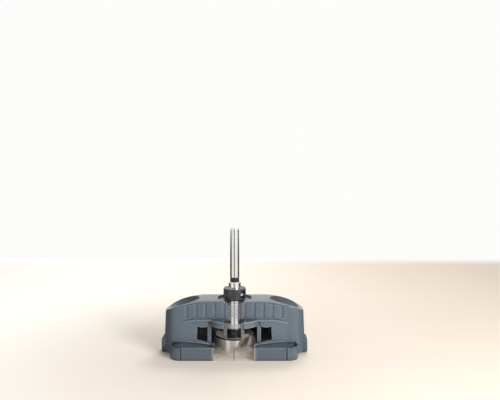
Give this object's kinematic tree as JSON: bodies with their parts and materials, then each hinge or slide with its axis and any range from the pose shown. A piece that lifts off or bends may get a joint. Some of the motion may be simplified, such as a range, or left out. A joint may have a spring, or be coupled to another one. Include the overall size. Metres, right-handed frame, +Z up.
{
  "type": "portable drill guide",
  "caption": "Hand-held drill guide with a moulded body on a low frame, a steel spindle with a depth stop collar, a clear front window and a hinge boring bit.",
  "frame": {"origin": "on the spindle's axis, in the plane of the underside", "axes": "+Z up along the spindle, +X along the body towards the right end as seen from the window side, -Y out of the window side"},
  "size_m": [0.1276, 0.0516, 0.109],
  "materials": {
    "body_plastic": "fine grain, slightly glossy",
    "base_plastic": "fine grain",
    "clear_plastic": "clear, faintly smoky",
    "bumper_rubber": "matt",
    "polished_steel": "ground and polished",
    "black_steel": "black oxide, satin",
    "tool_steel": "ground, bronze tone",
    "plain_steel": "bright",
    "black_rubber": "matt"
  },
  "bodies": {
    "guide": {"housing": "body_plastic", "base_frame": "base_plastic", "sight_window": "clear_plastic", "end_bumper_left": "bumper_rubber", "end_bumper_right": "bumper_rubber", "guide_bush": "clear_plastic", "base_screws": "plain_steel", "sole_pad_front_left": "black_rubber", "sole_pad_front_right": "black_rubber", "sole_pad_back_left": "black_rubber", "sole_pad_back_right": "black_rubber"},
    "washer": {"thrust_washer": "black_steel"},
    "collar": {"depth_stop_collar": "black_steel"},
    "collar_screw": {"collar_grub_screw": "plain_steel"},
    "drive": {"spindle": "polished_steel", "neck_ring": "black_rubber", "forstner_bit": "tool_steel"},
    "bit_screw": {"bit_grub_screw": "plain_steel"}
  },
  "joints": [
    {"name": "stroke", "type": "slide", "parent": "guide", "child": "washer", "axis": [0, 0, 1], "range_m": [0, 0.013]},
    {"name": "spin", "type": "hinge", "parent": "washer", "child": "collar", "pos_m": [0, 0, 0.0467], "axis": [0, 0, 1], "continuous": true},
    {"name": "depth_setting", "type": "slide", "parent": "collar", "child": "drive", "axis": [0, 0, -1], "range_m": [0, 0.012]},
    {"name": "collar_screw_turn", "type": "hinge", "parent": "collar", "child": "collar_screw", "pos_m": [0, 0, 0.05145], "axis": [0.7431, -0.6691, 0], "range_deg": [0, 180]},
    {"name": "bit_screw_turn", "type": "hinge", "parent": "drive", "child": "bit_screw", "pos_m": [0, 0, 0.0255], "axis": [0.5, 0.866, 0], "range_deg": [0, 180]}
  ]
}
